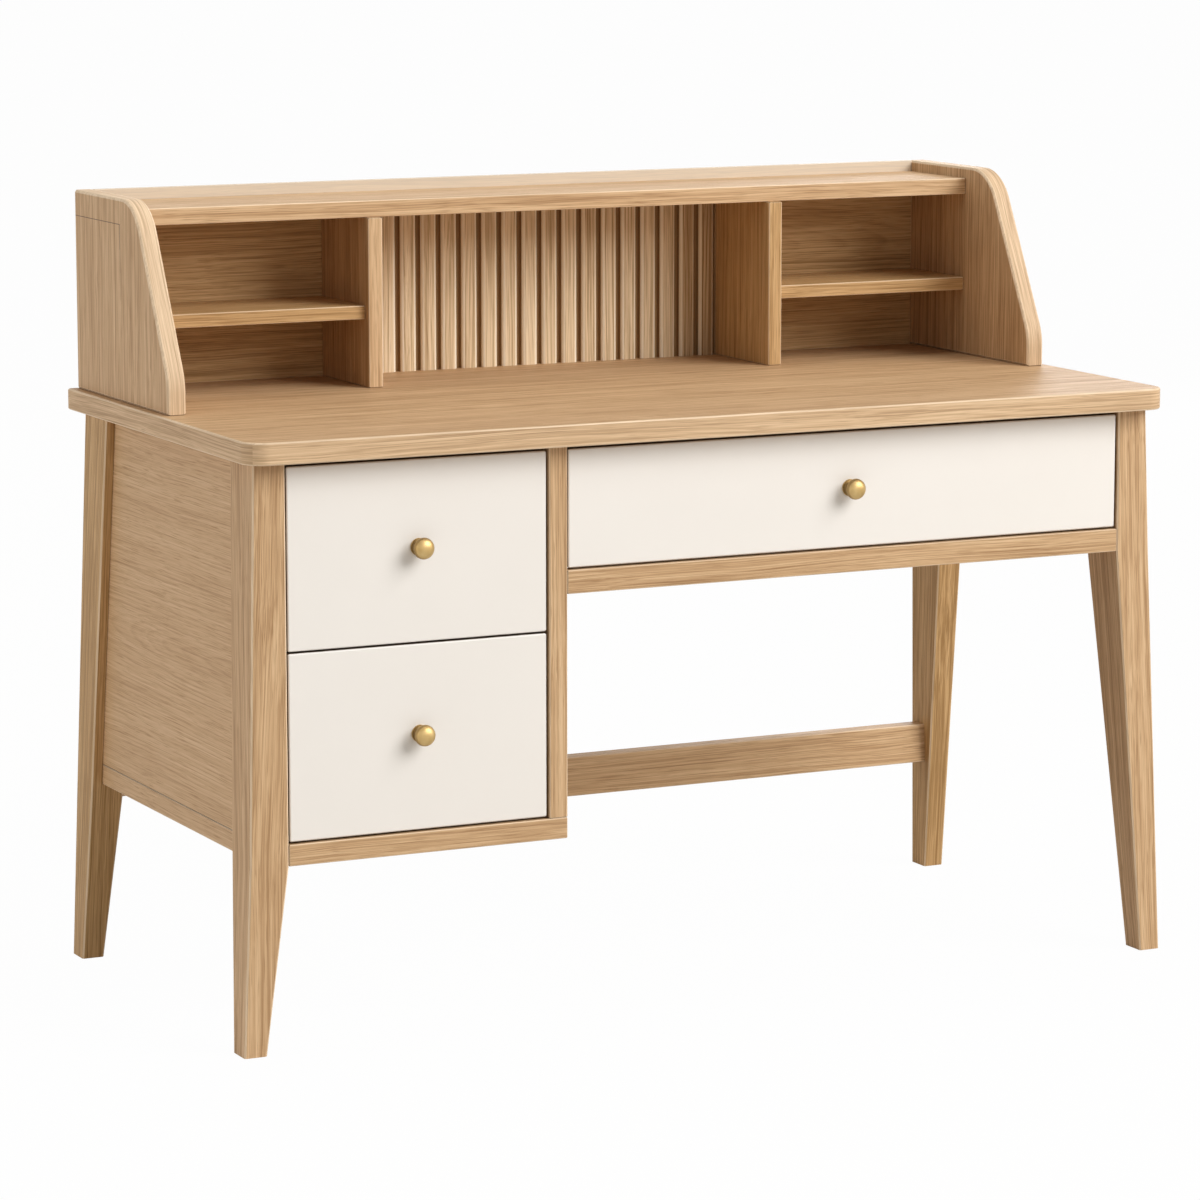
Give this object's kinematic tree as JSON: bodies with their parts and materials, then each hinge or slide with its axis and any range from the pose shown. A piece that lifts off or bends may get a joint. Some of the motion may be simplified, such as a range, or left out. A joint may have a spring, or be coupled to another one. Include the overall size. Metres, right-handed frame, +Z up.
{
  "type": "writing desk",
  "caption": "Light oak writing desk with splayed tapered legs, a drawer pedestal, a wide drawer and a low open hutch with a slatted back.",
  "frame": {"origin": "on the floor, under the middle of the desktop", "axes": "+Z up, +X to the right of someone sitting at the desk, -Y out of the front where the drawers open"},
  "size_m": [1.32, 0.636, 1.02],
  "materials": {
    "oak": "clear matt lacquer on light oak",
    "pale_oak": "sanded, clear sealed, inside the drawers",
    "plywood": "oak-faced plywood, sealed",
    "lacquer": "satin off-white lacquer on a solid board",
    "brass": "satin brass",
    "steel": "zinc-plated sheet steel"
  },
  "bodies": {
    "root": {"desktop": "oak", "front_left_leg": "oak", "front_right_leg": "oak", "rear_left_leg": "oak", "rear_right_leg": "oak", "left_side_panel": "oak", "left_side_rail": "oak", "pedestal_partition": "oak", "pedestal_stile": "oak", "pedestal_rear_post": "oak", "pedestal_bottom_rail": "oak", "pedestal_back_panel": "oak", "rear_apron": "oak", "right_side_apron": "oak", "right_front_rail": "oak", "stretcher": "oak", "hutch_left_side": "oak", "hutch_right_side": "oak", "hutch_top_shelf": "oak", "hutch_back_panel": "oak", "hutch_left_divider": "oak", "hutch_right_divider": "oak", "left_cubby_shelf": "oak", "right_cubby_shelf": "oak", "slatted_panel": "oak", "pedestal_mid_rail": "pale_oak", "upper_left_batten": "pale_oak", "lower_left_batten": "pale_oak", "right_batten": "pale_oak", "pedestal_bottom_panel": "plywood", "upper_left_drawer_left_fixed_runner": "steel", "upper_left_drawer_right_fixed_runner": "steel", "lower_left_drawer_left_fixed_runner": "steel", "lower_left_drawer_right_fixed_runner": "steel", "right_drawer_left_fixed_runner": "steel", "right_drawer_right_fixed_runner": "steel"},
    "upper_left_drawer": {"upper_left_drawer_front": "lacquer", "upper_left_drawer_left_side": "pale_oak", "upper_left_drawer_right_side": "pale_oak", "upper_left_drawer_back": "pale_oak", "upper_left_drawer_bottom": "plywood", "upper_left_drawer_knob": "brass", "upper_left_drawer_left_moving_runner": "steel", "upper_left_drawer_right_moving_runner": "steel"},
    "lower_left_drawer": {"lower_left_drawer_front": "lacquer", "lower_left_drawer_left_side": "pale_oak", "lower_left_drawer_right_side": "pale_oak", "lower_left_drawer_back": "pale_oak", "lower_left_drawer_bottom": "plywood", "lower_left_drawer_knob": "brass", "lower_left_drawer_left_moving_runner": "steel", "lower_left_drawer_right_moving_runner": "steel"},
    "right_drawer": {"right_drawer_front": "lacquer", "right_drawer_left_side": "pale_oak", "right_drawer_right_side": "pale_oak", "right_drawer_back": "pale_oak", "right_drawer_bottom": "plywood", "right_drawer_knob": "brass", "right_drawer_left_moving_runner": "steel", "right_drawer_right_moving_runner": "steel"}
  },
  "joints": [
    {"name": "upper_left_drawer_slide", "type": "slide", "parent": "root", "child": "upper_left_drawer", "axis": [0, -1, 0], "range_m": [0, 0.33]},
    {"name": "lower_left_drawer_slide", "type": "slide", "parent": "root", "child": "lower_left_drawer", "axis": [0, -1, 0], "range_m": [0, 0.33]},
    {"name": "right_drawer_slide", "type": "slide", "parent": "root", "child": "right_drawer", "axis": [0, -1, 0], "range_m": [0, 0.33]}
  ]
}
